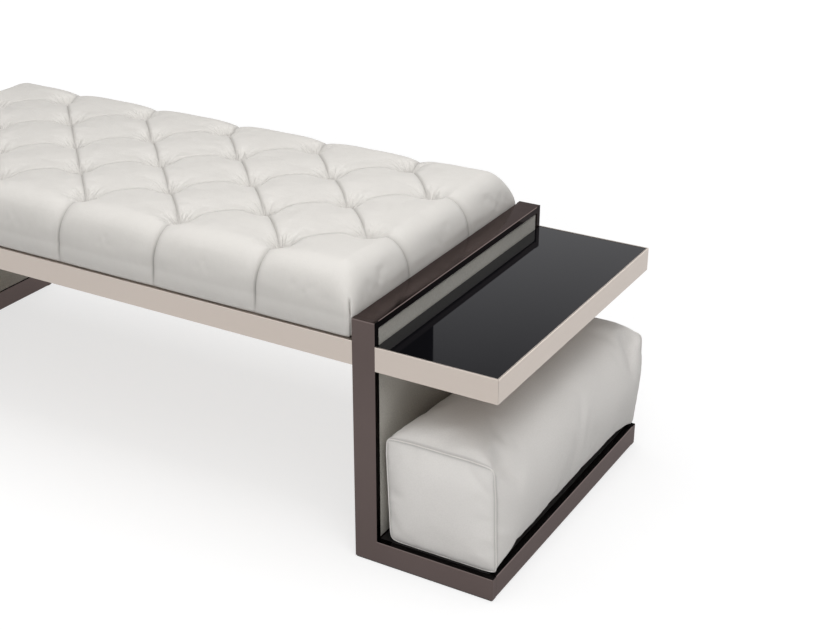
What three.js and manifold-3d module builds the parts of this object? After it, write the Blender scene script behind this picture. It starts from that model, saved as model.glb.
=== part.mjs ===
// Upholstered luggage bench: a tufted seat between two L-shaped end frames. Each end
// carries a glass-topped side tray and a low shelf with a loose bolster cushion.
// Millimetres, +Z up. The origin is on the floor under the middle of the bench;
// +X runs along the bench and the front faces -Y.
import * as THREE from "three";
import { mergeVertices } from "three/addons/utils/BufferGeometryUtils.js";
import Module from "manifold-3d";

const wasm = await Module();
wasm.setup();

// Driving sizes of the whole bench
const SEAT_LENGTH = 1146; // between the inner faces of the two end frames
const BENCH_DEPTH = 555;
const FRAME_HEIGHT = 418; // floor to the top of an end frame
const RAIL_DROP = 38; // top of an end frame down to the seat rails and side trays, which are level
const RAIL_HEIGHT = 40;
const SHELF_REACH = 204; // how far tray and shelf stand out past the end frame

// End frames, flat bar
const BAR_WIDTH = 40;
const BAR_THICKNESS = 12;
const BAR_EASE = 1; // eased edge of the polished bars
const FOOT_TOP = 40; // floor to the top of the foot
const PAD_THICKNESS = 2;
const PAD_MARGIN = 2; // felt strip kept inside the bar's edges
const DECK_THICKNESS = 10;
const DECK_LEDGE = 10;
const DECK_LEDGE_THICKNESS = 3;

// Upholstered end panels
const COVER_THICKNESS = 3.4;
const COVER_RECESS = 2; // cover face behind the frame's face
const COVER_MARGIN = 1; // shadow line round the cover
const COVER_EASE = 1.2;

// Side trays
const TRAY_WALL = 3;
const TRAY_FLANGE = 14;
const TRAY_LEDGE_THICKNESS = 2;
const TRAY_EASE = 0.6;
const GLASS_THICKNESS = 6;
const GLASS_DROP = 0.5; // glass below the rim
const GLASS_EASE = 0.6;
const TRAY_FLOOR_THICKNESS = 2;
const WALL_ANGLE_THICKNESS = 4;

// Seat carcass
const RAIL_THICKNESS = 20;
const RAIL_WALL = 2;
const RAIL_SETBACK = 2; // rail face behind the frame's front face
const BOARD_THICKNESS = 18;
const SLAT_HEIGHT = 16;
const SLAT_WIDTH = 40;
const SLAT_COUNT = 3;
const END_ANGLE_THICKNESS = 5;
const END_ANGLE_FLANGE = 25;
const END_ANGLE_FLANGE_THICKNESS = 4;

// Through bolts that clamp seat, end panel and tray together
const BOLT_RADIUS = 4;
const BOLT_HOLE_CLEARANCE = 0.4;
const BOLT_HEAD_RADIUS = 6.5;
const BOLT_HEAD_HEIGHT = 5;
const BOLT_LEVEL = 10; // above the underside of the rails
const BOLT_MARGIN = 88; // outermost bolts in from the front and the back
const BOLT_COUNT = 3;
const BOLT_REACH = 3; // thread past the tray angle

// Tufted seat cushion
const CUSHION_HEIGHT = 102; // rails up to the top of the pillows
const SHOULDER_HEIGHT = 58; // rails up to where the sides start to round over
const CUSHION_ROLL = 42; // width of the rounded edge
const TUFT_MARGIN = 78; // outermost tufts to the cushion's edge
const TUFT_REPEATS_LONG = 5;
const TUFT_REPEATS_DEEP = 2;
const TUFT_DEPTH = 24; // crown down to a tuft
const CREASE_DEPTH = 7; // crown down to a seam, halfway between two tufts
const PLEAT_DEPTH = 4; // edge pleats where they reach the side
const PILLOW_REACH = 70; // from a seam to the full height of a pillow
const SIDE_BULGE = 1.5;
const SIDE_TUCK = 6; // underside drawn in at the rail
const TUCK_HEIGHT = 8;

// Loose bolsters
const BOLSTER_HEIGHT = 182;
const BOLSTER_END_CORNER = 12; // at the end seams, which keep the cloth square
const BOLSTER_MIDDLE_CORNER = 36; // halfway along, where the fill makes it round
const BOLSTER_SIDE_CROWN = 7;
const BOLSTER_TOP_CROWN = 12;
const BOLSTER_END_CROWN = 9;
const BOLSTER_INSET = 6; // sides inside the outer edge of the shelf
const BOLSTER_PANEL_GAP = 18;
const BOLSTER_END_SETBACK = 15; // end seams behind the bench's front and back

const FIT = 0.2; // gap left between pieces that touch

// Places worked out from the driving sizes
const FRAME_INNER = SEAT_LENGTH / 2;
const FRAME_OUTER = FRAME_INNER + BAR_WIDTH;
const TRAY_OUTER = FRAME_OUTER + SHELF_REACH;
const HALF_DEPTH = BENCH_DEPTH / 2;
const RAIL_TOP = FRAME_HEIGHT - RAIL_DROP;
const POST_BACK = HALF_DEPTH - BAR_THICKNESS; // inner face of a front or back bar
const RAIL_BOTTOM = RAIL_TOP - RAIL_HEIGHT;
const RAIL_FACE = HALF_DEPTH - RAIL_SETBACK;
const RAIL_BACK = RAIL_FACE - RAIL_THICKNESS;
const COVER_OUTSIDE = FRAME_OUTER - COVER_RECESS;
const COVER_INSIDE = FRAME_INNER + COVER_RECESS;
const GLASS_TOP = RAIL_TOP - GLASS_DROP;
const GLASS_BOTTOM = GLASS_TOP - GLASS_THICKNESS;
const BOARD_BOTTOM = RAIL_TOP - BOARD_THICKNESS;
const WALL_ANGLE_FACE = COVER_OUTSIDE + FIT + WALL_ANGLE_THICKNESS;
const END_ANGLE_FACE = COVER_INSIDE - FIT - END_ANGLE_THICKNESS;
const BOLT_Z = RAIL_BOTTOM + BOLT_LEVEL;

const finish = (color, roughness, metalness = 0) =>
  new THREE.MeshStandardMaterial({ color, roughness, metalness });
const BRONZE = finish(0x4f4543, 0.15, 0.6);
const CHAMPAGNE = finish(0xc9bcb0, 0.35, 0.4);
const BLACK_GLASS = finish(0x0b0b0d, 0.03);
const LEATHER = finish(0xdedbd6, 0.5);
const BOLSTER_CLOTH = finish(0xd2cec9, 0.8);
const PANEL_CLOTH = finish(0xb8b4ac, 0.85);
const BLACK_BOARD = finish(0x141313, 0.4);
const PLYWOOD = finish(0xc8a878, 0.7);
const DARK_STEEL = finish(0x2c2a2b, 0.5, 0.5);
const FELT = finish(0x3a3835, 0.95);

// A prism is drawn in the two axes that follow its own axis, in the order x, y, z, x, y.
const PLANES = {
  x: new THREE.Matrix4().makeBasis(axisVector("y"), axisVector("z"), axisVector("x")),
  y: new THREE.Matrix4().makeBasis(axisVector("z"), axisVector("x"), axisVector("y")),
  z: new THREE.Matrix4(),
};

function axisVector(axis) {
  return new THREE.Vector3(Number(axis === "x"), Number(axis === "y"), Number(axis === "z"));
}

function prism(shape, axis, from, to, ease = 0) {
  const geometry = new THREE.ExtrudeGeometry(shape, {
    depth: to - from - 2 * ease,
    bevelEnabled: ease > 0,
    bevelThickness: ease,
    bevelSize: ease,
    bevelOffset: -ease,
    bevelSegments: 1,
    curveSegments: 6,
  });
  geometry.translate(0, 0, ease).applyMatrix4(PLANES[axis]);
  return geometry.translate(...axisVector(axis).multiplyScalar(from).toArray());
}

function outline(...points) {
  return new THREE.Shape(points.map(([a, b]) => new THREE.Vector2(a, b)));
}

// A rectangle whose corners are cut off by ease.
function easedRectangle(a0, a1, b0, b1, ease) {
  return outline(
    [a0 + ease, b0],
    [a1 - ease, b0],
    [a1, b0 + ease],
    [a1, b1 - ease],
    [a1 - ease, b1],
    [a0 + ease, b1],
    [a0, b1 - ease],
    [a0, b0 + ease],
  );
}

function rectangle(a0, a1, b0, b1) {
  return outline([a0, b0], [a1, b0], [a1, b1], [a0, b1]);
}

function withHole(shape, hole) {
  shape.holes.push(hole);
  return shape;
}

function block([x0, x1], [y0, y1], [z0, z1]) {
  return prism(rectangle(x0, x1, y0, y1), "z", z0, z1);
}

function solidOf(geometry) {
  const bare = geometry.index ? geometry.toNonIndexed() : geometry.clone();
  bare.deleteAttribute("normal");
  bare.deleteAttribute("uv");
  const merged = mergeVertices(bare, 1e-4);
  return new wasm.Manifold(
    new wasm.Mesh({
      numProp: 3,
      vertProperties: merged.getAttribute("position").array,
      triVerts: new Uint32Array(merged.index.array),
    }),
  );
}

function geometryOf(solid) {
  const mesh = solid.getMesh();
  return new THREE.BufferGeometry()
    .setAttribute("position", new THREE.BufferAttribute(mesh.vertProperties, 3))
    .setIndex(new THREE.BufferAttribute(mesh.triVerts, 1));
}

const cut = (geometry, ...tools) =>
  geometryOf(tools.reduce((left, tool) => left.subtract(solidOf(tool)), solidOf(geometry)));
const join = (geometry, ...others) =>
  geometryOf(others.reduce((sum, other) => sum.add(solidOf(other)), solidOf(geometry)));

function piece(name, geometry, material) {
  geometry.computeVertexNormals();
  const mesh = new THREE.Mesh(geometry, material);
  mesh.name = name;
  return mesh;
}

// Moves the vertices at one end of a rail back by their distance from the rail's face,
// which cuts that end to a mitre.
function mitre(geometry, axis, end, backOff) {
  const position = geometry.getAttribute("position");
  const direction = Math.sign(end);
  const point = new THREE.Vector3();
  for (let i = 0; i < position.count; i++) {
    point.fromBufferAttribute(position, i);
    if (Math.abs(point[axis] - end) > FIT) continue;
    point[axis] -= direction * (backOff(point) + FIT);
    position.setXYZ(i, point.x, point.y, point.z);
  }
  return geometry;
}

// End frame

// Post and foot are one L cut from plate. Its outward face is eased, its back is flat.
function lPlate(sign) {
  const l = outline(
    [PAD_THICKNESS, FRAME_INNER],
    [PAD_THICKNESS, TRAY_OUTER],
    [FOOT_TOP, TRAY_OUTER],
    [FOOT_TOP, FRAME_OUTER],
    [FRAME_HEIGHT, FRAME_OUTER],
    [FRAME_HEIGHT, FRAME_INNER],
  );
  const [from, to] = sign < 0 ? [-HALF_DEPTH, BAR_EASE - POST_BACK] : [POST_BACK - BAR_EASE, HALF_DEPTH];
  const behind = [Math.min(0, sign * POST_BACK), Math.max(0, sign * POST_BACK)];
  const aside = [FRAME_INNER - BAR_WIDTH, TRAY_OUTER + BAR_WIDTH];
  return cut(prism(l, "y", from, to, BAR_EASE), block(aside, behind, [0, FRAME_HEIGHT + BAR_WIDTH]));
}

const betweenPosts = [-POST_BACK + FIT, POST_BACK - FIT];

function topBar() {
  const underside = FRAME_HEIGHT - BAR_THICKNESS;
  const section = easedRectangle(underside, FRAME_HEIGHT, FRAME_INNER, FRAME_OUTER, BAR_EASE);
  return prism(section, "y", ...betweenPosts);
}

// The shelf's deck rests on a ledge along the outer foot bar and one along the sill.
const deckBottom = FOOT_TOP - DECK_THICKNESS;
const ledgeTop = deckBottom - FIT;
const ledgeBottom = ledgeTop - DECK_LEDGE_THICKNESS;

function outerFootBar() {
  const inner = TRAY_OUTER - BAR_THICKNESS;
  const section = outline(
    [PAD_THICKNESS, inner],
    [PAD_THICKNESS, TRAY_OUTER - BAR_EASE],
    [PAD_THICKNESS + BAR_EASE, TRAY_OUTER],
    [FOOT_TOP - BAR_EASE, TRAY_OUTER],
    [FOOT_TOP, TRAY_OUTER - BAR_EASE],
    [FOOT_TOP, inner],
    [ledgeTop, inner],
    [ledgeTop, inner - DECK_LEDGE],
    [ledgeBottom, inner - DECK_LEDGE],
    [ledgeBottom, inner],
  );
  return prism(section, "y", ...betweenPosts);
}

function sill() {
  const section = outline(
    [PAD_THICKNESS, FRAME_INNER],
    [PAD_THICKNESS, FRAME_OUTER],
    [ledgeBottom, FRAME_OUTER],
    [ledgeBottom, FRAME_OUTER + DECK_LEDGE],
    [ledgeTop, FRAME_OUTER + DECK_LEDGE],
    [ledgeTop, FRAME_OUTER],
    [FOOT_TOP, FRAME_OUTER],
    [FOOT_TOP, FRAME_INNER],
  );
  const hollow = rectangle(
    PAD_THICKNESS + RAIL_WALL,
    FOOT_TOP - RAIL_WALL,
    FRAME_INNER + RAIL_WALL,
    FRAME_OUTER - RAIL_WALL,
  );
  return prism(withHole(section, hollow), "y", ...betweenPosts);
}

function shelfDeck() {
  const x = [FRAME_OUTER + FIT, TRAY_OUTER - BAR_THICKNESS - FIT];
  return block(x, betweenPosts, [deckBottom, FOOT_TOP]);
}

function feltStrip(sign) {
  const near = sign * (POST_BACK + PAD_MARGIN);
  const far = sign * (HALF_DEPTH - PAD_MARGIN);
  const y = [Math.min(near, far), Math.max(near, far)];
  return block([FRAME_INNER + PAD_MARGIN, TRAY_OUTER - PAD_MARGIN], y, [0, PAD_THICKNESS - FIT]);
}

// End panel

const panelZ = [FOOT_TOP + FIT, FRAME_HEIGHT - BAR_THICKNESS - FIT];
const boltSpan = BENCH_DEPTH - 2 * BOLT_MARGIN;
const boltPlaces = Array.from(
  { length: BOLT_COUNT },
  (_, i) => boltSpan * (i / (BOLT_COUNT - 1) - 1 / 2),
);

function boltHoles(from, to) {
  const reach = BOLT_HEAD_HEIGHT;
  return boltPlaces.map((y) => {
    const circle = new THREE.Shape().absarc(y, BOLT_Z, BOLT_RADIUS + BOLT_HOLE_CLEARANCE, 0, 2 * Math.PI);
    return prism(circle, "x", from - reach, to + reach);
  });
}

function panelCore() {
  const from = COVER_INSIDE + COVER_THICKNESS + FIT;
  const to = COVER_OUTSIDE - COVER_THICKNESS - FIT;
  const board = prism(rectangle(...betweenPosts, ...panelZ), "x", from, to);
  return cut(board, ...boltHoles(from, to));
}

function panelCover(from) {
  const to = from + COVER_THICKNESS;
  const face = rectangle(
    betweenPosts[0] + COVER_MARGIN,
    betweenPosts[1] - COVER_MARGIN,
    panelZ[0] + FIT,
    panelZ[1] - COVER_MARGIN,
  );
  return cut(prism(face, "x", from, to, COVER_EASE), ...boltHoles(from, to));
}

// Side tray

// Section of the rim: an outer wall with a ledge for the glass and a flange for the floor.
// It is drawn from the tray's outside face inwards, and turned to face along x or y.
function rimSection(place) {
  const glassLedge = GLASS_BOTTOM - FIT;
  return [
    [0, RAIL_BOTTOM],
    [TRAY_FLANGE, RAIL_BOTTOM],
    [TRAY_FLANGE, RAIL_BOTTOM + TRAY_LEDGE_THICKNESS],
    [TRAY_WALL, RAIL_BOTTOM + TRAY_LEDGE_THICKNESS],
    [TRAY_WALL, glassLedge - TRAY_LEDGE_THICKNESS],
    [TRAY_FLANGE, glassLedge - TRAY_LEDGE_THICKNESS],
    [TRAY_FLANGE, glassLedge],
    [TRAY_WALL, glassLedge],
    [TRAY_WALL, RAIL_TOP],
    [TRAY_EASE, RAIL_TOP],
    [0, RAIL_TOP - TRAY_EASE],
  ].map(([inward, z]) => place(inward, z));
}

function trayEndRim(sign) {
  const section = rimSection((inward, z) => [sign * (HALF_DEPTH - inward), z]);
  const rim = prism(outline(...section), "x", FRAME_OUTER + FIT, TRAY_OUTER);
  return mitre(rim, "x", TRAY_OUTER, (point) => HALF_DEPTH - Math.abs(point.y));
}

function trayOuterRim() {
  const section = rimSection((inward, z) => [z, TRAY_OUTER - inward]);
  const rim = prism(outline(...section), "y", -HALF_DEPTH, HALF_DEPTH);
  const backOff = (point) => TRAY_OUTER - point.x;
  return mitre(mitre(rim, "y", HALF_DEPTH, backOff), "y", -HALF_DEPTH, backOff);
}

const insideRim = HALF_DEPTH - TRAY_WALL - FIT;

function trayGlass() {
  const face = easedRectangle(
    FRAME_OUTER + 2 * FIT,
    TRAY_OUTER - TRAY_WALL - FIT,
    -insideRim,
    insideRim,
    GLASS_EASE,
  );
  return prism(face, "z", GLASS_BOTTOM, GLASS_TOP, GLASS_EASE);
}

function trayFloor() {
  const bottom = RAIL_BOTTOM + TRAY_LEDGE_THICKNESS + FIT;
  const x = [FRAME_OUTER + TRAY_FLANGE, TRAY_OUTER - TRAY_WALL - FIT];
  return block(x, [-insideRim, insideRim], [bottom, bottom + TRAY_FLOOR_THICKNESS]);
}

// Steel angle on the panel's face: bolted through the panel, it carries floor and glass.
function trayWallAngle() {
  const back = COVER_OUTSIDE + FIT;
  const lip = FRAME_OUTER + TRAY_FLANGE - FIT;
  const top = GLASS_BOTTOM - FIT;
  const floorTop = RAIL_BOTTOM + 2 * TRAY_LEDGE_THICKNESS;
  const section = outline(
    [RAIL_BOTTOM, back],
    [RAIL_BOTTOM, lip + TRAY_FLANGE],
    [RAIL_BOTTOM + TRAY_LEDGE_THICKNESS, lip + TRAY_FLANGE],
    [RAIL_BOTTOM + TRAY_LEDGE_THICKNESS, lip],
    [floorTop, lip],
    [floorTop, WALL_ANGLE_FACE],
    [top - TRAY_LEDGE_THICKNESS, WALL_ANGLE_FACE],
    [top - TRAY_LEDGE_THICKNESS, lip],
    [top, lip],
    [top, back],
  );
  const half = HALF_DEPTH - TRAY_FLANGE - FIT;
  return cut(prism(section, "y", -half, half), ...boltHoles(COVER_OUTSIDE, WALL_ANGLE_FACE));
}

// Seat carcass

function seatRail(sign) {
  const y = [sign * RAIL_FACE, sign * RAIL_BACK].sort((a, b) => a - b);
  const section = easedRectangle(...y, RAIL_BOTTOM, RAIL_TOP, TRAY_EASE);
  const hollow = rectangle(
    y[0] + RAIL_WALL,
    y[1] - RAIL_WALL,
    RAIL_BOTTOM + RAIL_WALL,
    RAIL_TOP - RAIL_WALL,
  );
  return prism(withHole(section, hollow), "x", -FRAME_INNER + FIT, FRAME_INNER - FIT);
}

const betweenRails = [-RAIL_BACK + FIT, RAIL_BACK - FIT];

// Steel angle at each end of the seat, under the board and against the end panel.
function seatEndAngle() {
  const against = COVER_INSIDE - FIT;
  const flangeTop = BOARD_BOTTOM - FIT;
  const section = outline(
    [RAIL_BOTTOM, END_ANGLE_FACE],
    [RAIL_BOTTOM, against],
    [flangeTop, against],
    [flangeTop, END_ANGLE_FACE - END_ANGLE_FLANGE],
    [flangeTop - END_ANGLE_FLANGE_THICKNESS, END_ANGLE_FACE - END_ANGLE_FLANGE],
    [flangeTop - END_ANGLE_FLANGE_THICKNESS, END_ANGLE_FACE],
  );
  return cut(prism(section, "y", ...betweenRails), ...boltHoles(END_ANGLE_FACE, against));
}

function throughBolt(y) {
  const start = END_ANGLE_FACE - BOLT_HEAD_HEIGHT / 2;
  const end = WALL_ANGLE_FACE + BOLT_REACH;
  const shank = new THREE.CylinderGeometry(BOLT_RADIUS, BOLT_RADIUS, end - start, 12);
  const head = new THREE.CylinderGeometry(BOLT_HEAD_RADIUS, BOLT_HEAD_RADIUS, BOLT_HEAD_HEIGHT, 6);
  shank.rotateZ(-Math.PI / 2).translate((start + end) / 2, 0, 0);
  head.rotateZ(-Math.PI / 2).translate(start - FIT, 0, 0);
  return join(shank, head).translate(0, y, BOLT_Z);
}

function seatBoard() {
  const half = FRAME_INNER - FIT;
  return block([-half, half], betweenRails, [BOARD_BOTTOM, RAIL_TOP]);
}

function seatSlat(x) {
  const top = BOARD_BOTTOM - FIT;
  return block([x - SLAT_WIDTH / 2, x + SLAT_WIDTH / 2], betweenRails, [top - SLAT_HEIGHT, top]);
}

// Triangles that join each closed ring of points to the next one.
function bands(rings) {
  const triangles = [];
  for (let k = 0; k + 1 < rings.length; k++) {
    const [upper, lower] = [rings[k], rings[k + 1]];
    upper.forEach((a, n) => {
      const m = (n + 1) % upper.length;
      triangles.push(a, lower[n], upper[m], upper[m], lower[n], lower[m]);
    });
  }
  return triangles;
}

// Tufted seat cushion

const cushionHalfLong = FRAME_INNER - FIT - SIDE_BULGE;
const cushionHalfDeep = RAIL_FACE - SIDE_BULGE;
const stepLong = (cushionHalfLong - TUFT_MARGIN) / TUFT_REPEATS_LONG;
const stepDeep = (cushionHalfDeep - TUFT_MARGIN) / TUFT_REPEATS_DEEP;

// Seams run from tuft to tuft on the diagonals of the tuft grid, and the outermost
// tufts send a straight pleat out to the cushion's edge.
const seams = [];
for (let i = -TUFT_REPEATS_LONG; i <= TUFT_REPEATS_LONG; i++) {
  for (let j = -TUFT_REPEATS_DEEP; j <= TUFT_REPEATS_DEEP; j++) {
    if ((i + j) % 2) continue;
    const tuft = [i * stepLong, j * stepDeep];
    for (const up of [-1, 1]) {
      const inGrid = i < TUFT_REPEATS_LONG && Math.abs(j + up) <= TUFT_REPEATS_DEEP;
      if (inGrid) seams.push({ from: tuft, to: [(i + 1) * stepLong, (j + up) * stepDeep], pleat: false });
    }
    if (Math.abs(j) === TUFT_REPEATS_DEEP)
      seams.push({ from: tuft, to: [tuft[0], Math.sign(j) * cushionHalfDeep], pleat: true });
    if (Math.abs(i) === TUFT_REPEATS_LONG)
      seams.push({ from: tuft, to: [Math.sign(i) * cushionHalfLong, tuft[1]], pleat: true });
  }
}

// How far the leather lies below the pillows' crown at a point seen from above.
function tuftSag(x, y) {
  let sag = 0;
  for (const { from, to, pleat } of seams) {
    const along = [to[0] - from[0], to[1] - from[1]];
    const length = Math.hypot(...along);
    const share = ((x - from[0]) * along[0] + (y - from[1]) * along[1]) / length ** 2;
    const t = THREE.MathUtils.clamp(share, 0, 1);
    const distance = Math.hypot(x - from[0] - t * along[0], y - from[1] - t * along[1]);
    const shallow = pleat ? PLEAT_DEPTH : CREASE_DEPTH;
    const nearTuft = pleat ? 1 - t : Math.abs(2 * t - 1);
    const depth = shallow + (TUFT_DEPTH - shallow) * nearTuft ** 2;
    sag = Math.max(sag, depth * (1 - Math.min(distance / PILLOW_REACH, 1)) ** 2.2);
  }
  return sag;
}

function rollOver(distanceFromEdge) {
  return Math.sqrt(1 - (1 - Math.min(distanceFromEdge / CUSHION_ROLL, 1)) ** 2);
}

// Stations across the cushion: closer together over the rounded edge, then thirds of a step.
function stations(half, step, repeats) {
  const edge = [0, 0.13, 0.45, 1].map((share) => -half + share * CUSHION_ROLL);
  const inner = Array.from({ length: 6 * repeats + 1 }, (_, k) => (k / 3 - repeats) * step);
  return [...edge, ...inner, ...edge.map((v) => -v).reverse()];
}

function tuftedCushion() {
  const xs = stations(cushionHalfLong, stepLong, TUFT_REPEATS_LONG);
  const ys = stations(cushionHalfDeep, stepDeep, TUFT_REPEATS_DEEP);
  const shoulder = RAIL_TOP + SHOULDER_HEIGHT;
  const points = [];
  const triangles = [];
  const add = (x, y, z) => points.push(x, y, z) / 3 - 1;
  const height = (x, y) => {
    const roll = rollOver(cushionHalfLong - Math.abs(x)) * rollOver(cushionHalfDeep - Math.abs(y));
    return shoulder + roll * (CUSHION_HEIGHT - SHOULDER_HEIGHT - tuftSag(x, y));
  };
  const top = xs.map((x) => ys.map((y) => add(x, y, height(x, y))));
  for (let i = 0; i + 1 < xs.length; i++) {
    for (let j = 0; j + 1 < ys.length; j++) {
      const [a, b, c, d] = [top[i][j], top[i + 1][j], top[i + 1][j + 1], top[i][j + 1]];
      // Each square is split along the seam that crosses it.
      const column = Math.floor((xs[i] + xs[i + 1]) / 2 / stepLong);
      const row = Math.floor((ys[j] + ys[j + 1]) / 2 / stepDeep);
      if ((column + row) % 2) triangles.push(a, b, d, b, c, d);
      else triangles.push(a, b, c, a, c, d);
    }
  }
  // The sides go down in rings from the rim of the top to the tucked underside.
  const rim = [
    ...xs.map((x) => [x, ys[0]]),
    ...ys.slice(1).map((y) => [xs.at(-1), y]),
    ...xs.slice(0, -1).reverse().map((x) => [x, ys.at(-1)]),
    ...ys.slice(1, -1).reverse().map((y) => [xs[0], y]),
  ];
  const bottom = RAIL_TOP + FIT;
  const levels = [
    [(shoulder + bottom) / 2, SIDE_BULGE],
    [bottom + TUCK_HEIGHT, 0],
    [bottom, -SIDE_TUCK],
  ];
  const ring = (z, out) =>
    rim.map(([x, y]) => {
      const groove = out > 0 ? tuftSag(x, y) : 0;
      const onEnd = Math.abs(x) === cushionHalfLong;
      const onFront = Math.abs(y) === cushionHalfDeep;
      return add(
        (x * (cushionHalfLong + out - onEnd * groove)) / cushionHalfLong,
        (y * (cushionHalfDeep + out - onFront * groove)) / cushionHalfDeep,
        z,
      );
    });
  const indexOf = ([x, y]) => top[xs.indexOf(x)][ys.indexOf(y)];
  const rings = [rim.map(indexOf), ...levels.map(([z, out]) => ring(z, out))];
  triangles.push(...bands(rings));
  const middle = add(0, 0, bottom);
  rings.at(-1).forEach((n, k, all) => triangles.push(n, middle, all[(k + 1) % all.length]));
  return new THREE.BufferGeometry()
    .setAttribute("position", new THREE.Float32BufferAttribute(points, 3))
    .setIndex(triangles);
}

// Loose bolster

// A rounded square section whose sides and top swell between the corners, swept along the
// depth and closed by crowned ends.
function bolster() {
  const halfWidth = (SHELF_REACH - BOLSTER_INSET - BOLSTER_PANEL_GAP) / 2;
  const halfHeight = BOLSTER_HEIGHT / 2;
  const perCorner = 5;
  const outlineAt = (radius) => {
    const found = [];
    for (const [sx, sz] of [[1, 1], [-1, 1], [-1, -1], [1, -1]]) {
      for (let k = 0; k < perCorner; k++) {
        const quarter = (k / (perCorner - 1)) * (Math.PI / 2);
        const turn = sx * sz > 0 ? quarter : Math.PI / 2 - quarter;
        found.push([
          sx * (halfWidth - radius * (1 - Math.cos(turn))),
          sz * (halfHeight - radius * (1 - Math.sin(turn))),
        ]);
      }
      found.push(sx * sz > 0 ? [0, sz * halfHeight] : [sx * halfWidth, 0]);
    }
    return found;
  };
  const sections = [-1, -0.94, -0.8, -0.45, 0, 0.45, 0.8, 0.94, 1];
  const points = [];
  const triangles = [];
  const centreX = TRAY_OUTER - BOLSTER_INSET - halfWidth;
  const centreZ = FOOT_TOP + FIT + halfHeight;
  const add = (x, y, z) => points.push(centreX + x, y, centreZ + z) / 3 - 1;
  const swell = (t) => 1 - t ** 6;
  const cornerAt = (t) => BOLSTER_END_CORNER + (BOLSTER_MIDDLE_CORNER - BOLSTER_END_CORNER) * swell(t);
  const bulged = ([x, z], t, shrink = 1) => {
    const onSide = Math.abs(x) === halfWidth ? Math.sign(x) : 0;
    const side = onSide * BOLSTER_SIDE_CROWN * swell(t) * swell(z / halfHeight);
    const crown = z > 0 ? BOLSTER_TOP_CROWN * swell(t) * swell(x / halfWidth) : 0;
    return [shrink * (x + side), shrink * z + crown * shrink];
  };
  const ringAt = (t, y, shrink) =>
    outlineAt(cornerAt(t)).map((p) => {
      const [x, z] = bulged(p, t, shrink);
      return add(x, y, z);
    });
  const halfLength = HALF_DEPTH - BOLSTER_END_SETBACK;
  const rings = [
    ringAt(1, -halfLength - 0.8 * BOLSTER_END_CROWN, 0.55),
    ringAt(1, -halfLength - 0.25 * BOLSTER_END_CROWN, 0.93),
    ...sections.map((t) => ringAt(t, t * halfLength, 1)),
    ringAt(1, halfLength + 0.25 * BOLSTER_END_CROWN, 0.93),
    ringAt(1, halfLength + 0.8 * BOLSTER_END_CROWN, 0.55),
  ];
  triangles.push(...bands(rings));
  for (const [ring, y, flip] of [[rings[0], -1, false], [rings.at(-1), 1, true]]) {
    const tip = add(0, y * (halfLength + BOLSTER_END_CROWN), 0);
    ring.forEach((n, k, all) => {
      const m = all[(k + 1) % all.length];
      triangles.push(...(flip ? [m, n, tip] : [n, m, tip]));
    });
  }
  return new THREE.BufferGeometry()
    .setAttribute("position", new THREE.Float32BufferAttribute(points, 3))
    .setIndex(triangles);
}

// One end of the bench, built for +X. The other end is its mirror image.
function endAssembly(end) {
  const group = new THREE.Group();
  group.add(
    piece(`${end}_front_leg`, lPlate(-1), BRONZE),
    piece(`${end}_back_leg`, lPlate(1), BRONZE),
    piece(`${end}_top_bar`, topBar(), BRONZE),
    piece(`${end}_outer_foot_bar`, outerFootBar(), BRONZE),
    piece(`${end}_sill`, sill(), BRONZE),
    piece(`${end}_shelf_deck`, shelfDeck(), BLACK_BOARD),
    piece(`${end}_front_felt_strip`, feltStrip(-1), FELT),
    piece(`${end}_back_felt_strip`, feltStrip(1), FELT),
    piece(`${end}_panel_core`, panelCore(), PLYWOOD),
    piece(`${end}_panel_outer_cover`, panelCover(COVER_OUTSIDE - COVER_THICKNESS), PANEL_CLOTH),
    piece(`${end}_panel_inner_cover`, panelCover(COVER_INSIDE), PANEL_CLOTH),
    piece(`${end}_tray_front_rim`, trayEndRim(-1), CHAMPAGNE),
    piece(`${end}_tray_back_rim`, trayEndRim(1), CHAMPAGNE),
    piece(`${end}_tray_outer_rim`, trayOuterRim(), CHAMPAGNE),
    piece(`${end}_tray_wall_angle`, trayWallAngle(), DARK_STEEL),
    piece(`${end}_tray_floor`, trayFloor(), CHAMPAGNE),
    piece(`${end}_tray_glass`, trayGlass(), BLACK_GLASS),
    piece(`${end}_seat_end_angle`, seatEndAngle(), DARK_STEEL),
    piece(`${end}_bolster`, bolster(), BOLSTER_CLOTH),
  );
  boltPlaces.forEach((y, i) => {
    group.add(piece(`${end}_through_bolt_${i + 1}`, throughBolt(y), DARK_STEEL));
  });
  return group;
}

const bench = new THREE.Group();
const rightEnd = endAssembly("right");
const leftEnd = endAssembly("left");
leftEnd.scale.x = -1;
bench.add(
  rightEnd,
  leftEnd,
  piece("front_seat_rail", seatRail(-1), CHAMPAGNE),
  piece("back_seat_rail", seatRail(1), CHAMPAGNE),
  piece("seat_board", seatBoard(), PLYWOOD),
  piece("seat_cushion", tuftedCushion(), LEATHER),
);
for (let i = 1; i <= SLAT_COUNT; i++) {
  const x = SEAT_LENGTH * (i / (SLAT_COUNT + 1) - 1 / 2);
  bench.add(piece(`seat_slat_${i}`, seatSlat(x), PLYWOOD));
}

export default bench;
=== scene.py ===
# %% [markdown]
# # Hotel luggage bench
# The bench has a diamond-tufted leather seat between two polished L-shaped end frames. Each end carries
# a tray with a black glass top, over a shelf that holds a loose bolster cushion. The rigid pieces come
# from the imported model, at their real size. This lesson gives them their finishes and sews the soft ones,
# which take the place of the model's plain cushions and covers.

# %% Load the frame
import itertools
import math

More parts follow.
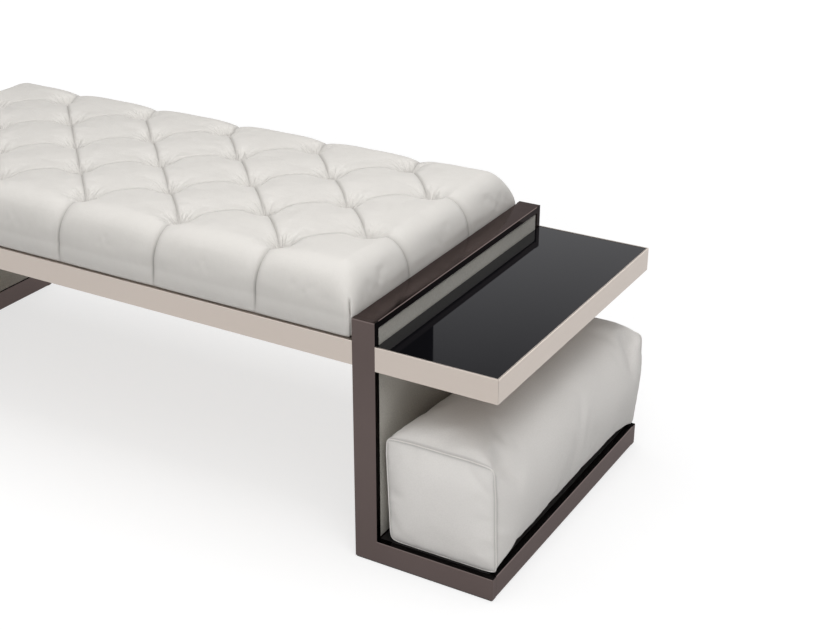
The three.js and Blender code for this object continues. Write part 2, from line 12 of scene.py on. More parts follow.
import bpy
import numpy as np
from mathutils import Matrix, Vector


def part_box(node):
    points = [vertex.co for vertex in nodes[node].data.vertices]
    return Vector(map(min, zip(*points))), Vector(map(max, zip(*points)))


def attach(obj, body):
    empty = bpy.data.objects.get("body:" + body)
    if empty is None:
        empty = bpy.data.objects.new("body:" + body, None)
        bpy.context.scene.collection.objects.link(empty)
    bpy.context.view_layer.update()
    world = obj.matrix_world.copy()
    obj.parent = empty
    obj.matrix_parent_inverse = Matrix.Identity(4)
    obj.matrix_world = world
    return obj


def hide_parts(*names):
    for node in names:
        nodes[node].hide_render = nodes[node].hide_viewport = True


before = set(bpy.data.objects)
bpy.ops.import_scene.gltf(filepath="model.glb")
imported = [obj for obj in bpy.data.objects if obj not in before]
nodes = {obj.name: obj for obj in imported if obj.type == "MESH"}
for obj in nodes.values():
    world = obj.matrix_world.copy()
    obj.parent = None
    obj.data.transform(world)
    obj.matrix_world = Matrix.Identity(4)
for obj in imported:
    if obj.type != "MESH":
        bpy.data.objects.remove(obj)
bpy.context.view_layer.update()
ENDS = ("right", "left")
MM = 0.001

# %% [markdown]
# ## Camera
# The photograph looks down on the right end of the bench. A camera fitted to the straight edges of that
# end gives the focal length in pixels, the picture's centre and the camera's place. The place is measured
# from the foot of the right end frame, on the side of the seat, so it follows the frame.

# %% Set up the camera
PHOTO_WIDTH, PHOTO_HEIGHT = 840, 630
FOCAL_PIXELS = 1487.85
CENTRE_PIXEL = (402.5, 336.2)
CAMERA_YAW = math.radians(30.46)
CAMERA_PITCH = math.radians(26.10)
CAMERA_ROLL = math.radians(0.12)
CAMERA_FROM_FOOT = Vector((1.0647, -1.6574, 1.3528))


def new_object(name, data):
    """Puts a new object in the scene."""
    made = bpy.data.objects.new(name, data)
    bpy.context.scene.collection.objects.link(made)
    return made


foot_corner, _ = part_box("right_front_leg")
lens = bpy.data.cameras.new("camera")
lens.sensor_width = 36.0
lens.lens = FOCAL_PIXELS / PHOTO_WIDTH * lens.sensor_width
lens.shift_x = (PHOTO_WIDTH / 2 - CENTRE_PIXEL[0]) / PHOTO_WIDTH
lens.shift_y = (CENTRE_PIXEL[1] - PHOTO_HEIGHT / 2) / PHOTO_WIDTH
camera = new_object("camera", lens)
camera.location = Vector((foot_corner.x, foot_corner.y, 0)) + CAMERA_FROM_FOOT
camera.rotation_euler = (math.pi / 2 - CAMERA_PITCH, CAMERA_ROLL, CAMERA_YAW)
bpy.context.scene.camera = camera
bpy.context.scene.view_settings.view_transform = "Standard"
print("camera: lens", round(lens.lens, 2), "mm at", [round(v, 3) for v in camera.location])

# %% [markdown]
# ## Node helpers
# Every finish below is a small node tree. These helpers place a node, set or link its inputs, and give
# the few patterns that the finishes share, so that each finish reads as a short recipe.

# %% Write the node helpers
def fill(tree, made, inputs):
    """Sets or links the inputs of a node, by name or number."""
    for socket, value in inputs.items():
        if isinstance(value, bpy.types.NodeSocket):
            tree.links.new(value, made.inputs[socket])
        else:
            made.inputs[socket].default_value = value


def put(tree, kind, inputs=None, **settings):
    """Adds a node, sets its properties, and fills its inputs."""
    made = tree.nodes.new(kind)
    for name, value in settings.items():
        setattr(made, name, value)
    fill(tree, made, inputs or {})
    return made


def new_finish(name):
    material = bpy.data.materials.new(name)
    material.use_nodes = True
    tree = material.node_tree
    return material, tree, tree.nodes["Principled BSDF"]


def object_place(tree, stretch=(1, 1, 1)):
    """Object coordinates in metres, stretched along each axis."""
    place = put(tree, "ShaderNodeTexCoord").outputs["Object"]
    return put(tree, "ShaderNodeMapping", {"Vector": place, "Scale": stretch}).outputs["Vector"]


def noise(tree, scale, detail=3.0, roughness=0.5, stretch=(1, 1, 1)):
    inputs = {"Vector": object_place(tree, stretch), "Scale": scale, "Detail": detail, "Roughness": roughness}
    return put(tree, "ShaderNodeTexNoise", inputs).outputs["Fac"]


def span(tree, value, low, high, to_low, to_high):
    """Maps value from one span to another, held at the ends."""
    inputs = {"Value": value, "From Min": low, "From Max": high, "To Min": to_low, "To Max": to_high}
    return put(tree, "ShaderNodeMapRange", inputs).outputs["Result"]


def shade(tree, factor, first, second):
    """Mixes two colours. A colour is three numbers or a socket."""
    colours = [(*c, 1) if isinstance(c, tuple) else c for c in (first, second)]
    inputs = {0: factor, 6: colours[0], 7: colours[1]}
    return put(tree, "ShaderNodeMix", inputs, data_type="RGBA").outputs[2]


def sums(tree, operation, first, second=0):
    """One sum on numbers or sockets. Some operations take the first alone."""
    return put(tree, "ShaderNodeMath", {0: first, 1: second}, operation=operation).outputs[0]


def bump(tree, height, depth, normal=None, strength=1.0):
    """Bumps the surface by height, from 0 to 1, times depth in metres."""
    inputs = {"Height": height, "Distance": depth, "Strength": strength}
    if normal is not None:
        inputs["Normal"] = normal
    return put(tree, "ShaderNodeBump", inputs).outputs["Normal"]


def dress(names, material):
    """Gives CAD nodes a finish."""
    for name in names:
        slots = nodes[name].data.materials
        slots.clear()
        slots.append(material)


# %% [markdown]
# ## Metal finishes
# The end frames are polished dark bronze: a metal that mirrors the seat and the room, with a faint cloudy
# polish. Their narrow edges round the panel and on the foot are coloured black. The rails and tray rims are
# satin champagne metal, brushed along their length, and the hidden bolts and angles are dark steel. A picture
# of brushed metal could be laid on, but noise on Object coordinates needs none and has no seams. It changes
# the colour and the roughness so that no face is one flat tone.

# %% Mix the metals
FOOT_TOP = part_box("right_outer_foot_bar")[1].z
FRAME_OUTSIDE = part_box("right_top_bar")[1].x
SIDE_MARGIN = 0.2 * MM  # how near the frame's outer side, or the foot's top, a point counts as on it
TOP_MARGIN = 0.3 * MM
ABOVE_FOOT = 0.5 * MM


def within(tree, value, low, high):
    """1 where value lies between low and high."""
    above = sums(tree, "GREATER_THAN", value, low)
    return sums(tree, "MULTIPLY", above, sums(tree, "LESS_THAN", value, high))


def black_edges(tree):
    """1 on the narrow edges of the bars that are coloured black: round the panel, and on top of the foot."""
    axes = put(tree, "ShaderNodeSeparateXYZ", {0: object_place(tree)}).outputs
    sideways = sums(tree, "ABSOLUTE", axes["X"])
    border = within(tree, sideways, FRAME_OUTSIDE - SIDE_MARGIN, FRAME_OUTSIDE + SIDE_MARGIN)
    border = sums(tree, "MULTIPLY", border, sums(tree, "GREATER_THAN", axes["Z"], FOOT_TOP + ABOVE_FOOT))
    upper = within(tree, axes["Z"], FOOT_TOP - TOP_MARGIN, FOOT_TOP + TOP_MARGIN)
    upper = sums(tree, "MULTIPLY", upper, sums(tree, "GREATER_THAN", sideways, FRAME_OUTSIDE))
    return sums(tree, "MAXIMUM", border, upper)


def dark_bronze():
    material, tree, shader = new_finish("dark_bronze")
    cloud = noise(tree, 9.0, 4.0)
    brushing = noise(tree, 60.0, 2.0, stretch=(1, 1, 14))
    colour = shade(tree, cloud, (0.118, 0.092, 0.087), (0.098, 0.076, 0.072))
    colour = shade(tree, black_edges(tree), colour, (0.012, 0.011, 0.011))
    polish = span(tree, cloud, 0.3, 0.7, 0.08, 0.14)
    rough = sums(tree, "ADD", polish, span(tree, brushing, 0.3, 0.7, 0.0, 0.03))
    fill(tree, shader, {"Base Color": colour, "Roughness": rough, "Normal": bump(tree, brushing, 0.00001)})
    fill(tree, shader, {"Metallic": 1.0, "Specular Tint": (0.62, 0.6, 0.6, 1)})
    return material


def champagne_metal():
    material, tree, shader = new_finish("champagne_metal")
    cloud = noise(tree, 5.0, 3.0)
    brushing = noise(tree, 900.0, 2.0, stretch=(0.03, 0.03, 1))
    colour = shade(tree, cloud, (0.565, 0.497, 0.445), (0.53, 0.468, 0.42))
    colour = shade(tree, brushing, colour, (0.575, 0.51, 0.462))
    rough = span(tree, brushing, 0.25, 0.75, 0.3, 0.4)
    fill(tree, shader, {"Base Color": colour, "Roughness": rough, "Normal": bump(tree, brushing, 0.00002)})
    fill(tree, shader, {"Metallic": 0.85})
    return material


def dark_steel():
    material, tree, shader = new_finish("dark_steel")
    cloud = noise(tree, 40.0, 5.0, 0.65)
    colour = shade(tree, cloud, (0.03, 0.029, 0.029), (0.06, 0.056, 0.054))
    rough = span(tree, cloud, 0.3, 0.7, 0.4, 0.6)
    normal = bump(tree, noise(tree, 700.0, 2.0), 0.00005)
    fill(tree, shader, {"Base Color": colour, "Roughness": rough, "Normal": normal, "Metallic": 0.6})
    return material


bronze = dark_bronze()
champagne = champagne_metal()
steel = dark_steel()
for end in ENDS:
    dress([f"{end}_{n}" for n in ("front_leg", "back_leg", "top_bar", "outer_foot_bar", "sill")], bronze)
    dress([f"{end}_tray_{n}" for n in ("front_rim", "back_rim", "outer_rim", "floor")], champagne)
    dress([f"{end}_through_bolt_{i}" for i in (1, 2, 3)], steel)
    dress([f"{end}_tray_wall_angle", f"{end}_seat_end_angle"], steel)
dress(["front_seat_rail", "back_seat_rail"], champagne)


def ease_edges(names, width):
    """Rounds the sharp edges of CAD nodes a little, so that they catch the light."""
    for name in names:
        bevel = nodes[name].modifiers.new("eased_edges", "BEVEL")
        bevel.width = width
        bevel.segments = 2
        bevel.limit_method = "ANGLE"
        bevel.angle_limit = math.radians(40)


RAIL_EASE = 0.7 * MM
RIM_EASE = 0.5 * MM

ease_edges(["front_seat_rail", "back_seat_rail"], RAIL_EASE)
for end in ENDS:
    ease_edges([f"{end}_tray_{n}" for n in ("front_rim", "back_rim", "outer_rim")], RIM_EASE)
print("metals on", sum(len(o.data.materials) > 0 for o in nodes.values()), "nodes")

# %% [markdown]
# ## Glass, boards and felt
# The tray tops are black glass: a black body under a clear, hard shine, with the faintest smear. The shelf
# deck is a black lacquered board. The seat board, slats and panel cores are birch plywood, which shows only
# from below. Felt strips keep the feet off the floor. The glass could be a clear pane over a black sheet. One
# black body with the shine of glass looks the same and needs no light to pass through it.


# %% Mix the glass, boards and felt
def black_glass():
    material, tree, shader = new_finish("black_glass")
    smear = noise(tree, 14.0, 5.0, 0.6, (1, 0.35, 1))
    colour = shade(tree, smear, (0.003, 0.003, 0.004), (0.005, 0.005, 0.006))
    rough = span(tree, smear, 0.45, 0.75, 0.015, 0.05)
    fill(tree, shader, {"Base Color": colour, "Roughness": rough})
    fill(tree, shader, {"IOR": 1.5, "Specular Tint": (0.86, 0.86, 0.98, 1)})
    return material


def black_board():
    material, tree, shader = new_finish("black_board")
    cloud = noise(tree, 25.0, 4.0)
    colour = shade(tree, cloud, (0.008, 0.0075, 0.0075), (0.014, 0.013, 0.013))
    rough = span(tree, cloud, 0.3, 0.7, 0.28, 0.42)
    normal = bump(tree, noise(tree, 350.0, 1.0), 0.00004)
    fill(tree, shader, {"Base Color": colour, "Roughness": rough, "Normal": normal})
    return material


def birch_plywood():
    material, tree, shader = new_finish("birch_plywood")
    grain = noise(tree, 60.0, 5.0, 0.6, (0.06, 1, 1))
    figure = noise(tree, 7.0, 3.0, 0.5, (0.15, 1, 1))
    pale = shade(tree, figure, (0.66, 0.48, 0.3), (0.54, 0.37, 0.21))
    colour = shade(tree, span(tree, grain, 0.35, 0.65, 0, 0.5), pale, (0.38, 0.24, 0.13))
    rough = span(tree, grain, 0.3, 0.7, 0.55, 0.75)
    fill(tree, shader, {"Base Color": colour, "Roughness": rough, "Normal": bump(tree, grain, 0.0001)})
    return material


def grey_felt():
    material, tree, shader = new_finish("grey_felt")
    fibre = noise(tree, 1400.0, 4.0, 0.7)
    colour = shade(tree, fibre, (0.03, 0.028, 0.026), (0.075, 0.07, 0.064))
    rough = span(tree, fibre, 0.2, 0.8, 0.85, 1.0)
    fill(tree, shader, {"Base Color": colour, "Roughness": rough, "Normal": bump(tree, fibre, 0.0004)})
    fill(tree, shader, {"Sheen Weight": 0.3})
    return material


glass = black_glass()
deck_lacquer = black_board()
plywood = birch_plywood()
felt = grey_felt()
for end in ENDS:
    dress([f"{end}_tray_glass"], glass)
    dress([f"{end}_shelf_deck"], deck_lacquer)
    dress([f"{end}_panel_core"], plywood)
    dress([f"{end}_front_felt_strip", f"{end}_back_felt_strip"], felt)
dress(["seat_board", "seat_slat_1", "seat_slat_2", "seat_slat_3"], plywood)
print("other finishes:", [m.name for m in (glass, deck_lacquer, plywood, felt)])

# %% [markdown]
# ## Leather and cloth
# The seat is smooth off-white leather with a fine grain and a soft sheen. The bolsters and the end panels
# are upholstered in pale cloth with a close weave. Its threads are too fine to model, so the weave is a bump
# of crossed waves, pulled about by noise so that it looks spun and not printed. Attributes that are written
# when a piece is sewn paint shade into its folds and seams, and tell the leather where it is gathered.

# %% Mix the leather and cloth
SEAM_SHADE = "seam"  # point attribute: painted shade, 1 in the bottom of a seam or groove, less beside a groove and at a tuft, 0 away
GATHER = "gather"  # point attribute: the direction from the nearest tuft, and a number of the tuft's own
GATHER_SHARE = "gather_share"  # point attribute: how much the leather is gathered there, 0 to 1
SEAM_SHADE_TONE = 0.6  # the painted shade in a seam, as a share of the cloth's dark colour
THREAD_WANDER = 0.0012  # how far noise pulls the threads out of line


def attribute(tree, name, outlet="Fac"):
    return put(tree, "ShaderNodeAttribute", attribute_name=name).outputs[outlet]


def gathers(tree):
    """Fine wrinkles that run out from each tuft: the same noise all along each ray, fading outward."""
    inputs = {"Vector": attribute(tree, GATHER, "Vector"), "Scale": 3.4, "Detail": 3.0, "Roughness": 0.6}
    wrinkles = put(tree, "ShaderNodeTexNoise", inputs).outputs["Fac"]
    return sums(tree, "MULTIPLY", wrinkles, attribute(tree, GATHER_SHARE))


def seat_leather():
    material, tree, shader = new_finish("seat_leather")
    cloud = noise(tree, 4.0, 4.0, 0.55)
    mottle = noise(tree, 60.0, 4.0, 0.6)
    own_colour = shade(tree, cloud, (0.655, 0.632, 0.6), (0.615, 0.594, 0.562))
    own_colour = shade(tree, span(tree, mottle, 0.3, 0.7, 0.0, 0.35), own_colour, (0.68, 0.66, 0.63))
    # painted shade: the leather is darkened in the grooves, beside them and at the tufts
    shaded_colour = shade(tree, span(tree, attribute(tree, SEAM_SHADE), 0.05, 1.0, 0, 0.55), own_colour, (0.1, 0.09, 0.08))
    cells = {"Vector": object_place(tree), "Scale": 850.0}
    pores = put(tree, "ShaderNodeTexVoronoi", cells).outputs["Distance"]
    creasing = noise(tree, 130.0, 6.0, 0.65)
    rough = span(tree, mottle, 0.3, 0.7, 0.42, 0.55)
    fine = bump(tree, pores, 0.00012, strength=0.35)
    drag = noise(tree, 26.0, 4.0, 0.6, (1, 1, 0.25))
    soft = bump(tree, drag, 0.004, bump(tree, creasing, 0.0004, fine, 0.3), 0.4)
    normal = bump(tree, gathers(tree), 0.006, soft)
    fill(tree, shader, {"Base Color": shaded_colour, "Roughness": rough, "Normal": normal})
    fill(tree, shader, {"Specular IOR Level": 0.4, "Sheen Weight": 0.08})
    return material


def woven_cloth(name, pale, dark, thread):
    """A plain weave whose threads are thread metres apart, in two close colours."""
    material, tree, shader = new_finish(name)
    ripple = put(tree, "ShaderNodeTexNoise", {"Vector": object_place(tree), "Scale": 90.0, "Detail": 3.0})
    inputs = {0: THREAD_WANDER, 4: object_place(tree), 5: ripple.outputs["Color"]}
    place = put(tree, "ShaderNodeMix", inputs, data_type="VECTOR").outputs[1]
    axes = put(tree, "ShaderNodeSeparateXYZ", {0: place}).outputs
    waves = []
    for axis in ("X", "Y", "Z"):
        turns = sums(tree, "MULTIPLY", axes[axis], 2 * math.pi / thread)
        waves.append(sums(tree, "SINE", turns))
    weave = sums(tree, "MULTIPLY", sums(tree, "ADD", waves[0], waves[1]), waves[2])
    weave = span(tree, weave, -1.5, 1.5, 0, 1)
    cloud = noise(tree, 6.0, 4.0, 0.55)
    fleck = noise(tree, 420.0, 3.0, 0.6)
    colour = shade(tree, span(tree, fleck, 0.3, 0.7, 0, 1), pale, dark)
    colour = shade(tree, span(tree, cloud, 0.35, 0.65, 0, 0.5), colour, pale)
    # painted shade along the seams, read from the seam attribute
    colour = shade(tree, attribute(tree, SEAM_SHADE), colour, tuple(SEAM_SHADE_TONE * c for c in dark))
    rough = span(tree, weave, 0.2, 0.8, 0.9, 0.75)
    woven = bump(tree, weave, 0.00015, strength=0.5)
    normal = bump(tree, noise(tree, 45.0, 4.0), 0.0008, woven, 0.25)
    fill(tree, shader, {"Base Color": colour, "Roughness": rough, "Normal": normal})
    fill(tree, shader, {"Sheen Weight": 0.15, "Sheen Roughness": 0.5, "Specular IOR Level": 0.2})
    return material


leather = seat_leather()
bolster_cloth = woven_cloth("bolster_cloth", (0.85, 0.825, 0.795), (0.79, 0.765, 0.735), 0.0011)
panel_cloth = woven_cloth("panel_cloth", (0.58, 0.56, 0.51), (0.40, 0.385, 0.345), 0.0014)
print("soft finishes:", [m.name for m in (leather, bolster_cloth, panel_cloth)])

# %% [markdown]
# ## Sewing helpers
# A soft piece is a closed mesh, worked out in numpy arrays. The first helpers turn arrays into a mesh and
# read points and normals back. The last one lets Blender's cloth swell a piece under pressure. Its result is
# read back as moved points, each held within a set distance of where it was cut.

# %% Write the sewing helpers
def soft_mesh(name, points, faces, material):
    """A smooth piece of one material."""
    mesh = bpy.data.meshes.new(name)
    mesh.from_pydata(np.asarray(points).tolist(), [], faces)
    mesh.materials.append(material)
    mesh.shade_smooth()
    return new_object(name, mesh)


def evaluated(piece):
    """A piece with its modifiers worked out."""
    return piece.evaluated_get(bpy.context.evaluated_depsgraph_get())


def read_vectors(items, name):
    flat = np.zeros(3 * len(items), np.float32)
    items.foreach_get(name, flat)
    return flat.reshape(-1, 3).astype(float)


def points_of(mesh):
    return read_vectors(mesh.vertices, "co")


def mesh_normals(mesh):
    return read_vectors(mesh.vertex_normals, "vector")


def normals_of(points, faces):
    """Outward normals at the points of a closed mesh that isn't made yet."""
    mesh = bpy.data.meshes.new("normals")
    mesh.from_pydata(points.tolist(), [], faces)
    normals = mesh_normals(mesh)
    bpy.data.meshes.remove(mesh)
    return normals


def write_points(piece, name, values):
    """Keeps a number or a vector at each point, under a name that a material can read."""
    kind, field = ("FLOAT", "value") if values.ndim == 1 else ("FLOAT_VECTOR", "vector")
    kept = piece.data.attributes.new(name, kind, "POINT")
    kept.data.foreach_set(field, values.astype(np.float32).ravel())


def limit(moves, most):
    """Shortens the moves that are longer than most."""
    length = np.linalg.norm(moves, axis=1, keepdims=True)
    return moves * np.minimum(1, most / np.maximum(length, 1e-9))


def swell(points, faces, held, tight, pressure, grow, steps, most):
    """Cloth under pressure: held points stay (weights 0 to 1), tight ones shrink, the rest may grow."""
    piece = soft_mesh("cloth_trial", points, faces, leather)
    for name, weights in (("held", held), ("tight", tight)):
        group = piece.vertex_groups.new(name=name)
        for index in np.nonzero(weights)[0]:
            group.add([int(index)], float(weights[index]), "REPLACE")
    settings = piece.modifiers.new("cloth", "CLOTH").settings
    settings.quality = 6
    settings.mass = 0.3
    settings.tension_stiffness = settings.compression_stiffness = 25
    settings.shear_stiffness = 10
    settings.bending_stiffness = 1.0
    settings.vertex_group_mass = "held"
    settings.vertex_group_shrink = "tight"
    settings.shrink_min, settings.shrink_max = -grow, grow
    settings.use_pressure = True
    settings.uniform_pressure_force = pressure
    settings.effector_weights.gravity = 0
    for step in range(1, steps + 1):
        bpy.context.scene.frame_set(step)
    moved = points_of(evaluated(piece).data)
    bpy.context.scene.frame_set(1)
    bpy.data.objects.remove(piece)
    return points + limit(moved - points, most)


# %% [markdown]
# ## Stage and light
# A plain white floor and a soft studio: a large lamp overhead, one low in front and one on the right, and an
# even, dim dome. The floor looks whiter to the camera than it is lit, and throws light up on the bench. The
# camera sees a white room. Metal and glass see a wall that is darker upward, a white card and a bright
# ceiling, and a black flag at the back left, which gives the black glass its depth.

# %% Set the stage
LAMPS = {  # place, target, size in metres, watts
    "key": ((1.8, -1.55, 2.8), (0.6, 0, 0.3), (2.0, 2.0), 38.0),
    "overhead": ((0.2, 0.1, 3.0), (0.2, 0, 0), (3.2, 2.4), 60.0),
    "front": ((0.3, -3.0, 0.7), (0.3, 0, 0.3), (3.0, 1.2), 13.5),
}
DOME = 0.23  # how strongly the dome lights the bench
FLOOR_HALF = 30.0
FLOOR_PAINT = ((0.37, 0.37, 0.37), (0.36, 0.36, 0.36))
FLOOR_BOUNCE = (0.62, 0.62, 0.62)  # the floor's colour for the light that it throws up
FLOOR_NEAR = 0.68  # what the floor adds for the camera and in reflections, near the bench and far from it
FLOOR_FAR = 0.95
FLOOR_SPAN = (1.0, 3.2)  # metres from the middle, between near and far
FLAG_SPAN = (math.radians(29.2), 1.3)  # radians leftward from the +Y axis
FLAG_DIM = 0.02
WALL_FADE = (21, 30)  # degrees up, where the wall goes from bright to dim
WALL_BRIGHT, WALL_DIM = 0.68, 0.12
CARD_SPAN = (-1.2, -0.12)  # radians leftward, and heights on a dome of radius 1
CARD_HEIGHTS = (0.2, 0.7)
CARD_LIGHT = 1.6
CEILING_FADE = (35, 43)  # degrees up, where the ceiling begins
CEILING_LIGHT = 1.7


def seen_by(tree, *rays):
    """1 for the named kinds of ray."""
    path = put(tree, "ShaderNodeLightPath").outputs
    seen = path[rays[0]]
    for ray in rays[1:]:
        seen = sums(tree, "MAXIMUM", seen, path[ray])
    return seen


def white_floor():
    square = ((-1, -1), (1, -1), (1, 1), (-1, 1))
    corners = [(x * FLOOR_HALF, y * FLOOR_HALF, 0) for x, y in square]
    material, tree, shader = new_finish("white_floor")
    cloud = noise(tree, 1.5, 2.0)
    paint = shade(tree, cloud, *FLOOR_PAINT)
    colour = shade(tree, seen_by(tree, "Is Diffuse Ray"), paint, FLOOR_BOUNCE)
    seen = seen_by(tree, "Is Camera Ray", "Is Glossy Ray")
    distance = put(tree, "ShaderNodeVectorMath", {0: object_place(tree)}, operation="LENGTH").outputs["Value"]
    lift = span(tree, distance, *FLOOR_SPAN, FLOOR_NEAR, FLOOR_FAR)
    glow = sums(tree, "MULTIPLY", seen, lift)
    fill(tree, shader, {"Base Color": colour, "Roughness": 0.9, "Specular IOR Level": 0.0})
    fill(tree, shader, {"Emission Color": (1, 1, 1, 1), "Emission Strength": glow})
    floor = soft_mesh("floor", corners, [(0, 1, 2, 3)], material)


def rises(degrees):
    """Heights on a dome of radius 1."""
    return [math.sin(math.radians(angle)) for angle in degrees]


def studio_dome():
    world = bpy.data.worlds.new("studio")
    bpy.context.scene.world = world
    world.use_nodes = True
    tree = world.node_tree
    way = put(tree, "ShaderNodeTexCoord").outputs["Generated"]
    parts = put(tree, "ShaderNodeSeparateXYZ", {0: way}).outputs
    azimuth = sums(tree, "ARCTAN2", sums(tree, "MULTIPLY", parts[0], -1.0), parts[1])
    flag = within(tree, azimuth, *FLAG_SPAN)
    wall = span(tree, parts[2], *rises(WALL_FADE), WALL_BRIGHT, WALL_DIM)
    card = sums(tree, "MULTIPLY", within(tree, azimuth, *CARD_SPAN), within(tree, parts[2], *CARD_HEIGHTS))
    ceiling = span(tree, parts[2], *rises(CEILING_FADE), 0, CEILING_LIGHT)
    mirrored = sums(tree, "MULTIPLY", span(tree, flag, 0, 1, 1.0, FLAG_DIM), wall)
    mirrored = sums(tree, "ADD", mirrored, ceiling)
    mirrored = sums(tree, "ADD", mirrored, sums(tree, "MULTIPLY", card, CARD_LIGHT))
    choice = {0: seen_by(tree, "Is Glossy Ray"), 2: DOME, 3: mirrored}
    strength = put(tree, "ShaderNodeMix", choice).outputs[0]
    plain = seen_by(tree, "Is Camera Ray", "Is Transmission Ray")
    strength = put(tree, "ShaderNodeMix", {0: plain, 2: strength, 3: 1.0}).outputs[0]
    fill(tree, tree.nodes["Background"], {"Color": (1, 1, 1, 1), "Strength": strength})


def soft_lamp(name, place, target, size, power):
    lamp = bpy.data.lights.new(name, "AREA")
    lamp.shape = "RECTANGLE"
    lamp.size, lamp.size_y = size
    lamp.energy = power
    holder = new_object(name, lamp)
    holder.location = place
    holder.rotation_euler = (Vector(target) - Vector(place)).to_track_quat("-Z", "Y").to_euler()
    holder.visible_glossy = False


white_floor()
studio_dome()
for name, lamp in LAMPS.items():
    soft_lamp(name, *lamp)
print("stage: a floor, a dome of", DOME, "and", len(LAMPS), "lamps")

# %% [markdown]
# ## Tufted seat
# The leather is drawn down by blind tufts on a diamond grid. Between tufts it is folded along the diagonals,
# and from the outermost tufts straight pleats run over the edge and down the sides. Sculpting could give the
# same pillows, but not the same spacing, and a cloth simulation alone leaves the folds to chance. So the
# leather is laid out flat first, as an upholsterer does: a point's place on the flat leather says how far it
# is from the nearest fold, also on the rounded edge and the sides.

# %% Lay out the seat
seat_low, seat_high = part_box("seat_cushion")
SIDE_BULGE = 1.5 * MM
ROLL = np.array([46, 58]) * MM  # width of the rounded edge, at the ends and along the sides
SIDE_HEIGHT = 34 * MM  # from the rails up to the rounded edge
TUFT_MARGIN = 78 * MM  # from the outermost tufts to the edge
REPEATS = (5, 2)  # half repeats of the tufts from the middle, along and across
CORNER_RADIUS = 14 * MM

seat_half = np.array([seat_high.x - SIDE_BULGE, seat_high.y - SIDE_BULGE])
seat_step = (seat_half - TUFT_MARGIN) / REPEATS
roll_drop = seat_high.z - seat_low.z - SIDE_HEIGHT
arc_length = math.pi / 2 * np.sqrt((ROLL**2 + roll_drop**2) / 2)
shoulder_z = seat_low.z + SIDE_HEIGHT
flat_half = seat_half - ROLL + arc_length  # half size of the leather's top, laid flat


def tuft_places():
    for i in range(-REPEATS[0], REPEATS[0] + 1):
        for j in range(-REPEATS[1], REPEATS[1] + 1):
            if (i + j) % 2 == 0:
                yield i, j


def fold_lines():
    """Every fold as (start, end, is it a pleat), on the flat leather."""
    reach = flat_half + SIDE_HEIGHT
    for i, j in tuft_places():
        start = np.array([i, j]) * seat_step
        for up in (-1, 1):
            if i < REPEATS[0] and abs(j + up) <= REPEATS[1]:
                yield start, np.array([i + 1, j + up]) * seat_step, False
        if abs(j) == REPEATS[1]:
            yield start, np.array([start[0], np.sign(j) * reach[1]]), True
        if abs(i) == REPEATS[0]:
            yield start, np.array([np.sign(i) * reach[0], start[1]]), True


folds = list(fold_lines())
tufts = np.array([np.array(place) * seat_step for place in tuft_places()])
print("seat:", len(tufts), "tufts,", len(folds), "folds, repeat", (2 * seat_step / MM).round(1), "mm")

# %% [markdown]
# Three things set how deep the leather lies. Each tuft draws a round funnel. Each fold lies in a shallow
# valley between two pillows, and in its bottom is a narrow groove where the leather is tucked. The groove
# fades towards the tufts, where the leather gathers into small wrinkles instead. Shade is painted into the
# leather's colour in a groove, a little beside it, and at the tufts.

# %% Work out how deep the leather lies
TUFT_DEPTH = 32 * MM
TUFT_REACH = 60 * MM
CREASE_DEPTH = 4 * MM  # between two tufts, halfway
CREASE_DROP = 5 * MM  # what is added at the tufts
PLEAT_DEPTH = 5 * MM  # from a tuft over the edge
PLEAT_DROP = 5 * MM  # what is added near the tuft
PLEAT_DROP_SPAN = (30 * MM, 110 * MM)  # where that fades
PLEAT_POWER = 0.6  # less than 1 keeps a pleat deep until it is near the rail
PILLOW_REACH = 68 * MM  # how far a fold's valley reaches to each side
GROOVE_DEPTH = 3 * MM
GROOVE_HALF = 2.4 * MM
GROOVE_AT_TUFT = 0.35  # share of the groove that is left at a tuft
GROOVE_SPAN = (8 * MM, 30 * MM)  # where it becomes whole
# painted shade: half width of the dark line along a groove, the shade on its flanks, and the shade at a tuft
SHADE_HALF = 3.3 * MM
FLANK_SHADE = 0.38  # how dark the painted shade is beside a groove, and how far
FLANK_REACH = 7 * MM
TUFT_SHADE = 0.75
TUFT_HALF = 7 * MM
WRINKLE_DEPTH = 0.8 * MM
WRINKLE_SPAN = (4 * MM, 14 * MM)  # where the wrinkles begin, out from a tuft
WRINKLE_REACH = 25 * MM
WRINKLES = ((7, 1.7, 1.0), (11, 2.9, 0.7))  # count round a tuft, turn from tuft to tuft, share
BLEND = 4  # a higher power makes a sharper rim where a funnel meets a valley


def smooth(value, low, high):
    share = np.clip((value - low) / (high - low), 0, 1)
    return share * share * (3 - 2 * share)


def nearest_tuft(flat):
    """The way from the nearest tuft, and the tuft's number."""
    best = np.full(len(flat), np.inf)
    way = np.zeros((len(flat), 2))
    which = np.zeros(len(flat))
    for number, tuft in enumerate(tufts):
        distance = np.linalg.norm(flat - tuft, axis=1)
        closer = distance < best
        best[closer] = distance[closer]
        way[closer] = (flat - tuft)[closer]
        which[closer] = number
    return best, way, which


def tucked(run):
    """Share of the groove at a distance along the fold from the nearest tuft."""
    return GROOVE_AT_TUFT + (1 - GROOVE_AT_TUFT) * smooth(run, *GROOVE_SPAN)


